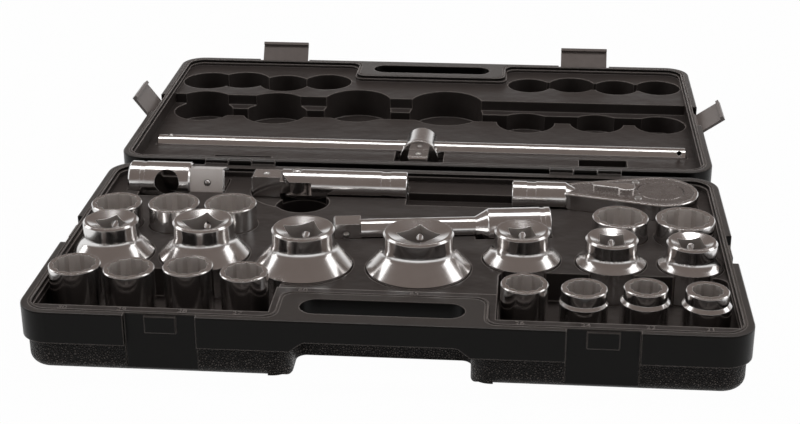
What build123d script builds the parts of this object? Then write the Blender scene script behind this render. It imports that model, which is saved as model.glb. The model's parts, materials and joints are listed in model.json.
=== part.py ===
from build123d import *
from math import cos, radians, sin
import os

os.makedirs("parts", exist_ok=True)

# Case halves: rim at the top, handle on the front
HALF_H = 51.0
CORNER_R = 24.0
WALL = 2.3
BAND_H = 26.0
LOWER_INSET = 4.0
FOOT_R = 9.0
FOOT_STEP = 4.0
RIM_W = 8.5
RIM_T = 3.0
GROOVE_W = 1.5
GROOVE_T = 1.2
GROOVE_IN = 2.7
BAND_Z = HALF_H - BAND_H
RIM_ROUND = 1.2

# Carrying handle: slot through the rim and a finger notch below it
SLOT_L = 126.0
SLOT_D = 25.0
GRIP_D = 14.0
NOTCH_H = 33.0
NOTCH_W = 136.0
NOTCH_FLARE = 15.0
NOTCH_SLOPE = 10.0
NOTCH_R = 8.0
BLOCK_WALL = 4.0
DETOUR = 4.5
DETOUR_R = 10.0
NOTCH_D = GRIP_D + SLOT_D + BLOCK_WALL
BLOCK_D = NOTCH_D + BLOCK_WALL
BLOCK_W = NOTCH_W + 4 * BLOCK_WALL

# Hinge along the back rim
HINGE_GAP = 6.0
KNUCKLE_R = 3.4
KNUCKLE_L = 22.0
KNUCKLE_PLAY = 0.6
WEB_T = 3.4
HINGE_X = 160.0
HINGE_PIN_R = 1.5
PIN_PLAY = 0.06

# Latches: pivot on the lid, hook on a catch of the base
LATCH_X = 166.0
LATCH_W = 50.0
LATCH_L = 29.0
LATCH_T = 2.4
LATCH_BARREL_R = 2.1
LATCH_PIN_R = 1.0
LATCH_SIDE = 2.5
RECESS_D = 5.0
PAD_SIDE = 5.0
PAD_T = 1.6
PIN_SEAT = 3.0
PIVOT_DROP = 9.0
PIVOT_IN = 2.6
LIP_T = 3.0
LIP_GAP = 0.4
CATCH_W = 24.0
CATCH_OUT = 2.0
CATCH_TOP = 2.0
CATCH_GAP = 1.2
LEAN_FRONT = 35.0
LEAN_LEFT = 37.0
LEAN_RIGHT = 55.0
RECESS_W = LATCH_W + 2 * LATCH_SIDE
CATCH_LOW = LATCH_L - LIP_T - PIVOT_DROP - CATCH_GAP

# Trays: heights are counted from the rim plane
TRAY_T = 2.0
TRAY_LIP = 0.8
UPSTAND = 1.6
LEDGE = 10.5
LEDGE_SIDE = 4.0
TROUGH_FLOOR = -33.0
TROUGH_R = 9.0
TROUGH_END = 0.2
TROUGH_RIGHT_V = -40.0
TROUGH_LEFT_V = -55.0
BASE_PLATEAU = -8.0
LID_SHELF = -6.0
LID_PLATEAU = -17.0
LID_STEP_V = -48.0
PLAY = 0.7
SEAT = 0.3
LID_FLOOR = -31.0
LID_DEEP = -35.0
LID_NEAR = -26.0
LID_PLAY = 2.2
LID_ROOM = 7.0
JOIN_W = 22.0
NEAR_W = 38.0

# Square drives
DRIVE_34 = 19.05
DRIVE_1 = 25.4
DRIVE_PLAY = 0.25
BALL_R = 3.0
BALL_OUT = 1.3
BALL_PLAY = 0.08
BALL_HOLE_DEEP = 9.0
SOCKET_EDGE = 0.8
HALF_STAR = 30.0

# Sockets standing mouth up: size, x, v, mouth diameter, drive-end diameter, top, length, turn
UP_SOCKETS = [
    (21, 245.2, -103.5, 33.0, 38.0, 12.0, 48.0, 5.0),
    (22, 198.9, -101.2, 33.6, 38.0, 12.0, 48.0, 12.0),
    (24, 152.2, -106.1, 35.2, 38.0, 12.0, 48.0, 0.0),
    (26, 106.9, -101.4, 36.6, 36.6, 12.0, 48.0, 9.0),
    (27, -110.8, -97.0, 37.6, 37.6, 12.0, 48.0, 3.0),
    (28, -156.6, -89.9, 39.6, 39.6, 12.0, 49.0, 14.0),
    (29, -201.9, -97.3, 40.2, 40.2, 12.0, 49.0, 8.0),
    (30, -246.3, -92.9, 41.0, 41.0, 12.0, 50.0, 2.0),
    (32, -244.0, 32.6, 43.0, 43.0, 12.0, 50.0, 11.0),
    (33, -194.8, 35.1, 43.8, 43.8, 12.0, 50.0, 4.0),
    (34, -146.1, 37.6, 44.8, 44.8, 12.0, 51.0, 7.0),
    (35, 186.0, 38.0, 47.0, 47.0, 10.0, 52.0, 0.0),
    (36, 240.0, 38.0, 49.6, 49.6, 10.0, 53.0, 10.0),
]
MOUTH_RING = 9.0
MOUTH_SLOPE = 2.5
MOUTH_DEPTH = 22.0
UP_CORE_R = 8.0

# Sockets standing drive up: size, x, v, skirt diameter, drive diameter, square, top, length, turn
DOWN_SOCKETS = [
    (38, 240.8, -17.0, 53.0, 41.2, DRIVE_34, 14.0, 54.0, 12.0),
    (41, 176.5, -16.5, 57.0, 42.8, DRIVE_34, 15.0, 56.0, 0.0),
    (46, 104.0, -13.8, 63.5, 45.4, DRIVE_34, 18.0, 60.0, 14.0),
    (50, -233.3, -27.3, 68.0, 45.4, DRIVE_34, 22.0, 63.0, 38.0),
    (55, -157.0, -24.7, 74.0, 49.7, DRIVE_1, 23.0, 66.0, 45.0),
    (60, -72.2, -38.6, 79.0, 51.5, DRIVE_1, 25.0, 69.0, 25.0),
    (65, 21.0, -37.4, 85.0, 57.2, DRIVE_1, 24.0, 69.0, 45.0),
]
DRIVE_LAND = 15.0
SKIRT_LAND = 2.0
FLARE_R = 9.0
LEAD_IN = 4.0
LEAD_RIM = 3.6
DEEP_34 = 24.0
DEEP_1 = 28.0

# Sliding bar and its three-quarter-inch sliding head, both in the lid
BAR_L = 520.0
BAR_R = 9.0
BAR_V = 67.5
BAR_DEEP = -19.0
BAR_EDGE = 1.0
BAR_HOLE_R = 2.4
BAR_HOLE_IN = 7.0
BAR_BALL_IN = 13.0
BORE_PLAY = 0.1
T_X = 2.0
T_R = 16.0
T_BACK = 22.0
T_BODY = 46.0
T_COLLAR = 7.0
T_COLLAR_R = 18.6
T_TANG = 20.5
T_SIDE = 5.0

# Tools in the back row of the base
TOOL_Z = -4.5
HEAD1_V = 124.0
HEAD1_X0 = -254.0
HEAD1_X1 = -197.0
HEAD1_R = 17.5
HEAD1_TANG = 31.0
HEAD1_BORE_R = 11.2
HEAD1_BORE_X = -218.0
HEAD1_ROLL = 17.0
HEAD1_FINGER = 11.0
HEAD1_FINGER_FLOOR = -20.0
HEAD1_RING = 11.0
FLEX_V = 119.0
FLEX_LEVEL = -2.2
FLEX_R = 13.5
FLEX_PIN_X = -100.0
FLEX_X1 = 0.0
FLEX_GAP = 12.0
FLEX_BLADE = 11.4
FLEX_SLOT_END = 14.0
FLEX_PIN_R = 3.2
FLEX_EYE_R = 11.0
FLEX_NECK = 15.0
FLEX_TANG = 26.0
FLEX_BORE = 66.0
FLEX_RING_IN = 23.0
PIN_HEAD_R = 4.6
PIN_HEAD_T = 1.5
PIN_HEAD_SINK = 0.8
FLEX_PLAY = 1.6
FINGER_X = -92.0
FINGER_V = 91.0
FINGER_R = 24.0
FINGER_FLOOR = -36.0
RAT_X = 224.0
RAT_V = 105.5
RAT_R = 33.0
RAT_TOP = 6.5
RAT_LOW = -14.0
RAT_NECK_X = 149.0
RAT_NECK_R = 14.5
RAT_SLEEVE_X0 = 94.0
RAT_SLEEVE_X1 = 141.0
RAT_SLEEVE_R = 13.5
RAT_SLEEVE_Z = -2.0
RAT_BORE = 40.0
SLEEVE_RING_IN = 13.0
PLATE_T = 2.4
PLATE_IN = 4.0
DISC_R = 20.4
GEAR_R = 22.0
GEAR_ROOT = 20.2
GEAR_TEETH = 30
CHAMBER_R = 23.0
CHAMBER_LOW = -10.5
JOURNAL_R = 15.0
PAWL_X = -30.0
PAWL_HOUSE_R = 9.6
PAWL_R = 8.6
PAWL_BACK = 2.0
RUN_PLAY = 0.3
LEVER_SHAFT_R = 3.6
LEVER_HUB_R = 8.0
LEVER_T = 3.6
LEVER_L = 30.0
LEVER_PADDLE_W = 10.0
LEVER_TURN = 12.0
SCREW_DX = -20.5
SCREW_DV = 18.5
SCREW_R = 1.7
SCREW_HEAD_R = 3.4
SCREW_HEAD_T = 1.2
SCREW_L = 7.0
RAT_DRIVE = 23.0
EXT_CX = 35.7
EXT_CV = 34.5
EXT_L = 184.0
EXT_TURN = 7.5
EXT_MALE = 21.0
EXT_R = 9.6
EXT_BIG = 53.0
EXT_BIG_R = 16.5
EXT_FLARE = 11.0
EXT_FEMALE = 26.0
EXT_RING_IN = 9.0
RING_W = 4.0
RING_T = 0.6

# The case is as wide as its socket rows or its bar need, and as deep as its back row of tools needs
END_ROOM = 10.7
BAR_END = 18.0
BACK_ROOM = 14.5
ROW_REACH = max(abs(row[1]) + max(row[3], row[4]) / 2 for row in UP_SOCKETS + DOWN_SOCKETS)
CASE_W = 2 * max(ROW_REACH + END_ROOM, BAR_L / 2 + BAR_END)
CASE_D = 2 * (HEAD1_V + HEAD1_R + BACK_ROOM)
HINGE_Y = CASE_D / 2 + HINGE_GAP

# Edges of the trays' fields: the strip inside the rim, and the ledge in front of the sockets
FIELD_X = CASE_W / 2 - RIM_W - UPSTAND
FIELD_V = CASE_D / 2 - RIM_W - UPSTAND
HANDLE_X = BLOCK_W / 2 + DETOUR + UPSTAND
HANDLE_V = BLOCK_D + DETOUR + UPSTAND


def hand_in(piece, name):
    """Label one piece and write its file."""
    piece.label = name
    export_step(piece, f"parts/{name}.step")


def half_y(side, v):
    """Depth v counted from the middle of a half; the lid lies mirrored behind the hinge."""
    return v if side > 0 else 2 * HINGE_Y - v


def front_y(side, inset=0.0):
    """The handle face of a half, or a line that far inside it."""
    return half_y(side, inset - CASE_D / 2)


def plain_outline(side, inset):
    """The rounded outline of a half, drawn that far inside its edge."""
    with Locations((0, half_y(side, 0))):
        RectangleRounded(CASE_W - 2 * inset, CASE_D - 2 * inset, CORNER_R - inset)


def rim_outline(side, inset):
    """The outline inside the rim, which runs round behind the handle slot."""
    plain_outline(side, inset)
    half = BLOCK_W / 2 + inset - RIM_W + DETOUR
    deep = BLOCK_D + inset - RIM_W + DETOUR
    with Locations((0, front_y(side))):
        Rectangle(2 * half, 2 * deep, mode=Mode.SUBTRACT)
    corners = vertices().filter_by(lambda p: abs(abs(p.X) - half) < 0.01)
    fillet(corners, DETOUR_R)


def latch_blocks(side, reach, width):
    """Rectangles at the four latch places, reaching in from the outer face."""
    with Locations((-LATCH_X, front_y(side)), (LATCH_X, front_y(side))):
        Rectangle(width, 2 * reach)
    with Locations((-CASE_W / 2, half_y(side, 0)), (CASE_W / 2, half_y(side, 0))):
        Rectangle(2 * reach, width)


def hollow_outline(side, inset):
    """The cavity of a half, leaving the handle block and the latch pads solid."""
    plain_outline(side, inset)
    with Locations((0, front_y(side))):
        Rectangle(BLOCK_W, 2 * BLOCK_D, mode=Mode.SUBTRACT)
    with Locations((-LATCH_X, front_y(side)), (LATCH_X, front_y(side))):
        Rectangle(RECESS_W + 2 * PAD_SIDE, 2 * (RECESS_D + PAD_T), mode=Mode.SUBTRACT)
    with Locations((-CASE_W / 2, half_y(side, 0)), (CASE_W / 2, half_y(side, 0))):
        Rectangle(2 * (RECESS_D + PAD_T), RECESS_W + 2 * PAD_SIDE, mode=Mode.SUBTRACT)


def notch_plan(side, level, front, grow):
    """The finger notch seen from above, its sides flaring out into the lower front wall."""
    half = NOTCH_W / 2 + grow
    foot = NOTCH_W / 2 + NOTCH_FLARE + WALL
    face_y = front_y(side, front)
    wall = front_y(side, LOWER_INSET + grow)
    back = front_y(side, NOTCH_D + grow)
    with BuildSketch(Plane.XY.offset(level)) as face:
        with BuildLine():
            Polyline(
                (-foot, face_y),
                (-foot, wall),
                (-half, wall),
                (-half, back),
                (half, back),
                (half, wall),
                (foot, wall),
                (foot, face_y),
                close=True,
            )
        make_face()
        inner = vertices().filter_by(lambda p: abs(abs(p.X) - half) < 0.01)
        fillet(inner.filter_by(lambda p: abs(p.Y - wall) < 0.01), NOTCH_FLARE - grow)
        fillet(vertices().filter_by(lambda p: abs(p.Y - back) < 0.01), NOTCH_R)
    return face.sketch


def notch_roof(side):
    """The upper part of the finger notch seen from the front, narrowing to the grip."""
    half = NOTCH_W / 2
    back = max(front_y(side), front_y(side, NOTCH_D))
    with BuildSketch(Plane.XZ.offset(-back)) as face:
        with BuildLine():
            Polyline(
                (-half, BAND_Z - WALL),
                (-half, BAND_Z),
                (NOTCH_SLOPE - half, NOTCH_H),
                (half - NOTCH_SLOPE, NOTCH_H),
                (half, BAND_Z),
                (half, BAND_Z - WALL),
                close=True,
            )
        make_face()
        fillet(vertices().group_by(Axis.Y)[-1], NOTCH_R)
    return face.sketch


def knuckle_starts(side):
    """Left ends and lengths of a half's hinge knuckles: two on the base, one on the lid."""
    starts = []
    for middle in (-HINGE_X, HINGE_X):
        if side > 0:
            starts.append(middle - 1.5 * KNUCKLE_L)
            starts.append(middle + 0.5 * KNUCKLE_L)
        else:
            starts.append(middle - 0.5 * KNUCKLE_L)
    return starts


def tub_body(side):
    """The outer wall of one half with its handle, latch recesses and hinge knuckles."""
    with BuildSketch(Plane.XY) as face:
        plain_outline(side, LOWER_INSET)
    extrude(face.sketch, amount=BAND_Z)
    fillet(edges().group_by(Axis.Z)[0], FOOT_R)
    with BuildSketch(Plane.XY.offset(BAND_Z)) as face:
        plain_outline(side, 0)
    extrude(face.sketch, amount=BAND_H)
    fillet(edges().group_by(Axis.Z)[-1], RIM_ROUND)
    with BuildSketch(Plane.XY.offset(WALL)) as face:
        hollow_outline(side, LOWER_INSET + WALL + FOOT_STEP)
    extrude(face.sketch, amount=FOOT_STEP, mode=Mode.SUBTRACT)
    with BuildSketch(Plane.XY.offset(WALL + FOOT_STEP)) as face:
        hollow_outline(side, LOWER_INSET + WALL)
    extrude(face.sketch, amount=BAND_Z - FOOT_STEP, mode=Mode.SUBTRACT)
    with BuildSketch(Plane.XY.offset(BAND_Z + WALL)) as face:
        hollow_outline(side, WALL)
    extrude(face.sketch, amount=BAND_H - WALL - RIM_T, mode=Mode.SUBTRACT)
    with BuildSketch(Plane.XY.offset(HALF_H)) as face:
        rim_outline(side, RIM_W)
    extrude(face.sketch, amount=-RIM_T - WALL, mode=Mode.SUBTRACT)
    with BuildSketch(Plane.XY.offset(HALF_H)) as face:
        rim_outline(side, RIM_W - GROOVE_IN)
        with BuildSketch(mode=Mode.SUBTRACT):
            rim_outline(side, RIM_W - GROOVE_IN + GROOVE_W)
    extrude(face.sketch, amount=-GROOVE_T, mode=Mode.SUBTRACT)
    extrude(notch_plan(side, WALL, LOWER_INSET, BLOCK_WALL), amount=BAND_Z)
    extrude(notch_plan(side, 0, -WALL, 0), amount=BAND_Z, mode=Mode.SUBTRACT)
    extrude(notch_roof(side), amount=NOTCH_D, mode=Mode.SUBTRACT)
    with BuildSketch(Plane.XY) as face:
        with Locations((0, front_y(side, GRIP_D + SLOT_D / 2))):
            SlotOverall(SLOT_L, SLOT_D)
    extrude(face.sketch, amount=HALF_H, mode=Mode.SUBTRACT)
    with BuildSketch(Plane.XY) as face:
        latch_blocks(side, RECESS_D, RECESS_W)
    extrude(face.sketch, amount=HALF_H, mode=Mode.SUBTRACT)
    wall_y = half_y(side, CASE_D / 2 - WALL / 2)
    for start in knuckle_starts(side):
        with BuildSketch(Plane.YZ.offset(start + KNUCKLE_PLAY / 2)) as face:
            with Locations(((wall_y + HINGE_Y) / 2, HALF_H - WEB_T / 2)):
                Rectangle(abs(wall_y - HINGE_Y), WEB_T)
            with Locations((HINGE_Y, HALF_H)):
                Circle(KNUCKLE_R)
                Circle(HINGE_PIN_R + PIN_PLAY, mode=Mode.SUBTRACT)
        extrude(face.sketch, amount=KNUCKLE_L - KNUCKLE_PLAY)


# Base shell
with BuildPart() as base_shell:
    tub_body(1)
    with BuildSketch(Plane.XY.offset(HALF_H - CATCH_TOP)):
        with Locations((-LATCH_X, front_y(1, RECESS_D)), (LATCH_X, front_y(1, RECESS_D))):
            Rectangle(CATCH_W, 2 * CATCH_OUT)
        with Locations((RECESS_D - CASE_W / 2, 0), (CASE_W / 2 - RECESS_D, 0)):
            Rectangle(2 * CATCH_OUT, CATCH_W)
    extrude(amount=CATCH_TOP - CATCH_LOW)
hand_in(base_shell.part, "base_shell")

# Lid shell, with blind holes for the latch pins
SIDE_PIN_L = RECESS_W + 2 * PIN_SEAT
PIVOT_Z = HALF_H - PIVOT_DROP
PIVOT_Y = front_y(-1, PIVOT_IN)
PIVOT_X = CASE_W / 2 - PIVOT_IN
LID_Y = half_y(-1, 0)


def pivot_rods(radius, reach):
    """Rods on the four latch pivots."""
    for x in (-LATCH_X, LATCH_X):
        with BuildSketch(Plane.YZ.offset(x - reach / 2)) as face:
            with Locations((PIVOT_Y, PIVOT_Z)):
                Circle(radius)
        extrude(face.sketch, amount=reach)
    for x in (-PIVOT_X, PIVOT_X):
        with BuildSketch(Plane.XZ.offset(-LID_Y - reach / 2)) as face:
            with Locations((x, PIVOT_Z)):
                Circle(radius)
        extrude(face.sketch, amount=reach)


with BuildPart() as latch_pins:
    pivot_rods(LATCH_PIN_R, SIDE_PIN_L)
hand_in(latch_pins.part, "latch_pins")

with BuildPart() as pin_holes:
    pivot_rods(LATCH_PIN_R + PIN_PLAY, SIDE_PIN_L + 2 * PIN_PLAY)

with BuildPart() as lid_shell:
    tub_body(-1)
    add(pin_holes.part, mode=Mode.SUBTRACT)
hand_in(lid_shell.part, "lid_shell")

# Hinge pins, one rod through each group of knuckles
with BuildPart() as hinge_pins:
    for middle in (-HINGE_X, HINGE_X):
        with BuildSketch(Plane.YZ.offset(middle - 1.5 * KNUCKLE_L)):
            with Locations((HINGE_Y, HALF_H)):
                Circle(HINGE_PIN_R)
        extrude(amount=3 * KNUCKLE_L)
hand_in(hinge_pins.part, "hinge_pins")


def latch(origin, out, lean):
    """One latch: barrel on its pin, plate and hook lip, leaning out from the clasped pose."""
    up = Vector(0, 0, 1)
    out = Vector(*out)
    out_turned = out * cos(radians(lean)) - up * sin(radians(lean))
    plate_in = PIVOT_IN - LATCH_T
    lip_in = PIVOT_IN - RECESS_D + LIP_GAP
    with BuildSketch(Plane(origin=origin, x_dir=out_turned, z_dir=out.cross(up))) as face:
        Circle(LATCH_BARREL_R)
        with Locations((plate_in + LATCH_T / 2, LATCH_L / 2)):
            Rectangle(LATCH_T, LATCH_L)
        with Locations(((lip_in + PIVOT_IN) / 2, LATCH_L - LIP_T / 2)):
            Rectangle(PIVOT_IN - lip_in, LIP_T)
        Circle(LATCH_PIN_R + PIN_PLAY, mode=Mode.SUBTRACT)
    extrude(face.sketch, amount=LATCH_W / 2, both=True)


LATCHES = [
    ("latch_front_left", (-LATCH_X, PIVOT_Y, PIVOT_Z), (0, 1, 0), LEAN_FRONT),
    ("latch_front_right", (LATCH_X, PIVOT_Y, PIVOT_Z), (0, 1, 0), LEAN_FRONT),
    ("latch_side_left", (-PIVOT_X, LID_Y, PIVOT_Z), (-1, 0, 0), LEAN_LEFT),
    ("latch_side_right", (PIVOT_X, LID_Y, PIVOT_Z), (1, 0, 0), LEAN_RIGHT),
]
for name, origin, out, lean in LATCHES:
    with BuildPart() as one_latch:
        latch(origin, out, lean)
    hand_in(one_latch.part, name)


def disc(x, v, r):
    """A round pocket outline."""

    def draw(grow, side):
        with Locations((x, half_y(side, v))):
            Circle(r + grow)

    return draw


def block(x0, x1, v0, v1, turn=0.0):
    """A rectangular pocket outline, turned about its middle."""

    def draw(grow, side):
        with Locations(((x0 + x1) / 2, half_y(side, (v0 + v1) / 2))):
            Rectangle(x1 - x0 + 2 * grow, v1 - v0 + 2 * grow, rotation=turn)

    return draw


def trough(x0, x1, v0, v1):
    """A long pocket with rounded corners, shared by a row of sockets."""

    def draw(grow, side):
        with Locations(((x0 + x1) / 2, half_y(side, (v0 + v1) / 2))):
            RectangleRounded(x1 - x0 + 2 * grow, v1 - v0 + 2 * grow, TROUGH_R + grow)

    return draw


def pear(x0, r0, x1, r1, v):
    """The outline round two circles on one line."""

    def draw(grow, side):
        with BuildSketch(mode=Mode.PRIVATE) as hull:
            with Locations((x0, half_y(side, v))):
                Circle(r0 + grow)
            with Locations((x1, half_y(side, v))):
                Circle(r1 + grow)
            make_hull()
        add(hull.sketch)

    return draw


def swing(x, v, r, keep):
    """The quarter of a disc that a tang sweeps, kept to one side of its pin."""

    def draw(grow, side):
        with BuildSketch(mode=Mode.PRIVATE) as dish:
            with Locations((x, half_y(side, v))):
                Circle(r + grow)
            with Locations((x + keep + grow + r, half_y(side, v))):
                Rectangle(2 * r, 4 * r, mode=Mode.SUBTRACT)
            with Locations((x, half_y(side, v + keep + grow + r))):
                Rectangle(4 * r, 2 * r, mode=Mode.SUBTRACT)
        add(dish.sketch)

    return draw


def cups(side, level, pockets):
    """Walls and floors of the pockets, hanging below their level."""
    for floor, draw in pockets:
        with BuildSketch(Plane.XY.offset(HALF_H + level)) as face:
            draw(TRAY_T, side)
        extrude(face.sketch, amount=floor - level - TRAY_T)


def dig(side, level, pockets):
    """The hollows of the pockets."""
    for floor, draw in pockets:
        with BuildSketch(Plane.XY.offset(HALF_H + level)) as face:
            draw(0, side)
        extrude(face.sketch, amount=floor - level, mode=Mode.SUBTRACT)


# Pockets of the base tray: floor height and outline
base_pockets = []
for size, x, v, mouth, drive, top, length, turn in UP_SOCKETS:
    base_pockets.append((top - length, disc(x, v, max(mouth, drive) / 2 + PLAY)))
for size, x, v, skirt, drive, square, top, length, turn in DOWN_SOCKETS:
    base_pockets.append((top - length, disc(x, v, skirt / 2 + PLAY)))
TROUGH_X0 = HANDLE_X + LEDGE_SIDE
TROUGH_X1 = FIELD_X - TROUGH_END
TROUGH_V0 = LEDGE - FIELD_V
base_pockets += [
    (TROUGH_FLOOR, trough(TROUGH_X0, TROUGH_X1, TROUGH_V0, TROUGH_RIGHT_V)),
    (TROUGH_FLOOR, trough(-TROUGH_X1, -TROUGH_X0, TROUGH_V0, TROUGH_LEFT_V)),
]
HEAD1_TIP = HEAD1_X1 + HEAD1_TANG
HEAD1_HALF = DRIVE_1 / 2 * (cos(radians(HEAD1_ROLL)) + sin(radians(HEAD1_ROLL)))
FLEX_TIP = FLEX_PIN_X - FLEX_NECK - FLEX_TANG
FLEX_SWING_R = FLEX_NECK + FLEX_TANG + FLEX_PLAY
FLEX_FLOOR = FLEX_LEVEL - FLEX_R - SEAT
TANG_FLOOR = FLEX_LEVEL - DRIVE_34 / 2 - SEAT
base_pockets += [
    (
        TOOL_Z - HEAD1_R - SEAT,
        block(
            HEAD1_X0 - PLAY,
            HEAD1_X1 + PLAY,
            HEAD1_V - HEAD1_R - PLAY,
            HEAD1_V + HEAD1_R + PLAY,
        ),
    ),
    (
        TOOL_Z - HEAD1_HALF - SEAT,
        block(
            HEAD1_X1,
            HEAD1_TIP + PLAY,
            HEAD1_V - HEAD1_HALF - PLAY,
            HEAD1_V + HEAD1_HALF + PLAY,
        ),
    ),
    (
        FLEX_FLOOR,
        block(
            FLEX_PIN_X - FLEX_R - PLAY,
            FLEX_X1 + PLAY,
            FLEX_V - FLEX_R - PLAY,
            FLEX_V + FLEX_R + PLAY,
        ),
    ),
    (
        HEAD1_FINGER_FLOOR,
        block(
            HEAD1_X0 + HEAD1_RING,
            HEAD1_X1,
            HEAD1_V - HEAD1_R - HEAD1_FINGER,
            HEAD1_V,
        ),
    ),
    (TANG_FLOOR, swing(FLEX_PIN_X, FLEX_V, FLEX_SWING_R, FLEX_R + PLAY)),
    (FINGER_FLOOR, disc(FINGER_X, FINGER_V, FINGER_R)),
    (
        RAT_LOW,
        pear(RAT_NECK_X, RAT_NECK_R + PLAY, RAT_X, RAT_R + PLAY, RAT_V),
    ),
    (
        RAT_SLEEVE_Z - RAT_SLEEVE_R - SEAT,
        block(
            FLEX_X1,
            RAT_SLEEVE_X1 + RAT_SLEEVE_R,
            RAT_V - RAT_SLEEVE_R - PLAY,
            RAT_V + RAT_SLEEVE_R + PLAY,
        ),
    ),
    (RAT_LOW - RAT_DRIVE - 2 * PLAY, disc(RAT_X, RAT_V, JOURNAL_R + PLAY)),
]
EXT_AX = cos(radians(EXT_TURN))
EXT_AV = sin(radians(EXT_TURN))


def along_extension(s):
    """A point on the extension's axis, that far from its middle."""
    return EXT_CX + s * EXT_AX, EXT_CV + s * EXT_AV


def extension_block(s0, s1, half_w):
    """A pocket along the extension between two stations."""
    x, v = along_extension((s0 + s1) / 2)
    length = s1 - s0
    return block(x - length / 2, x + length / 2, v - half_w, v + half_w, EXT_TURN)


EXT_BIG_S = EXT_L / 2 - EXT_BIG
base_pockets += [
    (
        TOOL_Z - DRIVE_34 / 2 - SEAT,
        extension_block(-EXT_L / 2 - PLAY, EXT_BIG_S, EXT_R + PLAY),
    ),
    (
        TOOL_Z - EXT_BIG_R - SEAT,
        extension_block(EXT_BIG_S - EXT_FLARE - PLAY, EXT_L / 2 + PLAY, EXT_BIG_R + PLAY),
    ),
]


def tray_rim(side, level, mode=Mode.ADD):
    """The upright strip between a tray's deck and the rim of its half."""
    with BuildSketch(Plane.XY.offset(HALF_H + level)) as face:
        rim_outline(side, RIM_W - TRAY_LIP)
        with BuildSketch(mode=Mode.SUBTRACT):
            rim_outline(side, RIM_W + UPSTAND)
    extrude(face.sketch, amount=-level - RIM_T, mode=mode)


# Base tray: deck with cups round every pocket, and the strip that joins it to the rim
with BuildPart() as base_tray:
    with BuildSketch(Plane.XY.offset(HALF_H + BASE_PLATEAU)):
        rim_outline(1, RIM_W - TRAY_LIP)
    extrude(amount=-TRAY_T)
    cups(1, BASE_PLATEAU, base_pockets)
    dig(1, BASE_PLATEAU, base_pockets)
hand_in(base_tray.part, "base_tray")

with BuildPart() as base_tray_rim:
    tray_rim(1, BASE_PLATEAU)
    with BuildSketch(Plane.XY.offset(HALF_H + BASE_PLATEAU)):
        rim_outline(1, RIM_W)
        with BuildSketch(mode=Mode.SUBTRACT):
            plain_outline(1, RIM_W)
            with Locations((0, front_y(1))):
                Rectangle(CASE_W, 2 * (RIM_W + UPSTAND + LEDGE), mode=Mode.SUBTRACT)
                Rectangle(2 * TROUGH_X0, 2 * (HANDLE_V + LEDGE), mode=Mode.SUBTRACT)
    extrude(amount=-BASE_PLATEAU - RIM_T)
hand_in(base_tray_rim.part, "base_tray_rim")

# Pockets of the lid tray: they clear whatever stands above the rim of the base
PAWL_AT = RAT_X + PAWL_X


def lid_disc(x, v, r):
    """A round pocket of the lid, moved in where it would break through the strip inside the rim."""
    reach = FIELD_X - TRAY_LIP - r
    return disc(max(-reach, min(reach, x)), v, r)


def joined(row):
    """A pocket that joins the round pockets of one row of sockets."""
    x_line = [entry[1] for entry in row]
    v_line = [entry[2] for entry in row]
    middle = sum(v_line) / len(v_line)
    return block(min(x_line), max(x_line), middle - JOIN_W / 2, middle + JOIN_W / 2)


lid_pockets = []
for size, x, v, mouth, drive, top, length, turn in UP_SOCKETS:
    if v < 0:
        room = min(mouth / 2 + LID_ROOM, abs(x) - HANDLE_X - TRAY_T)
        lid_pockets.append((LID_FLOOR, lid_disc(x, v, room)))
for size, x, v, skirt, drive, square, top, length, turn in DOWN_SOCKETS:
    lid_pockets.append((LID_DEEP, lid_disc(x, v, (skirt + drive) / 4 + LID_PLAY)))
lid_pockets += [
    (LID_FLOOR, joined([row for row in UP_SOCKETS if row[2] < 0 and row[1] < 0])),
    (LID_FLOOR, joined([row for row in UP_SOCKETS if row[2] < 0 and row[1] > 0])),
    (LID_DEEP, joined(DOWN_SOCKETS)),
    (LID_NEAR, block(HEAD1_X1, FLEX_TIP, FLEX_V - NEAR_W / 2, FLEX_V + NEAR_W / 2)),
    (
        LID_NEAR,
        block(
            PAWL_AT - LEVER_L - LEVER_HUB_R,
            PAWL_AT + LEVER_HUB_R,
            RAT_V - NEAR_W / 2,
            RAT_V + NEAR_W / 2,
        ),
    ),
]
BAR_TROUGH = BAR_R + SEAT
T_FAR = BAR_V - T_BACK
T_NEAR = T_FAR + T_BODY
bar_pockets = [
    (
        BAR_DEEP - BAR_TROUGH,
        block(-BAR_L / 2 - PLAY, BAR_L / 2 + PLAY, BAR_V - BAR_TROUGH, BAR_V + BAR_TROUGH),
    ),
    (
        BAR_DEEP - T_COLLAR_R - SEAT,
        block(
            T_X - T_COLLAR_R - T_SIDE,
            T_X + T_COLLAR_R + T_SIDE,
            T_FAR - PLAY,
            T_NEAR + T_TANG + PLAY,
        ),
    ),
]


def lid_field(inset, v0, v1):
    """The part of the lid's outline between two depths."""
    rim_outline(-1, inset)
    with Locations((0, half_y(-1, (v0 + v1) / 2))):
        Rectangle(CASE_W, v1 - v0, mode=Mode.INTERSECT)


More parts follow.
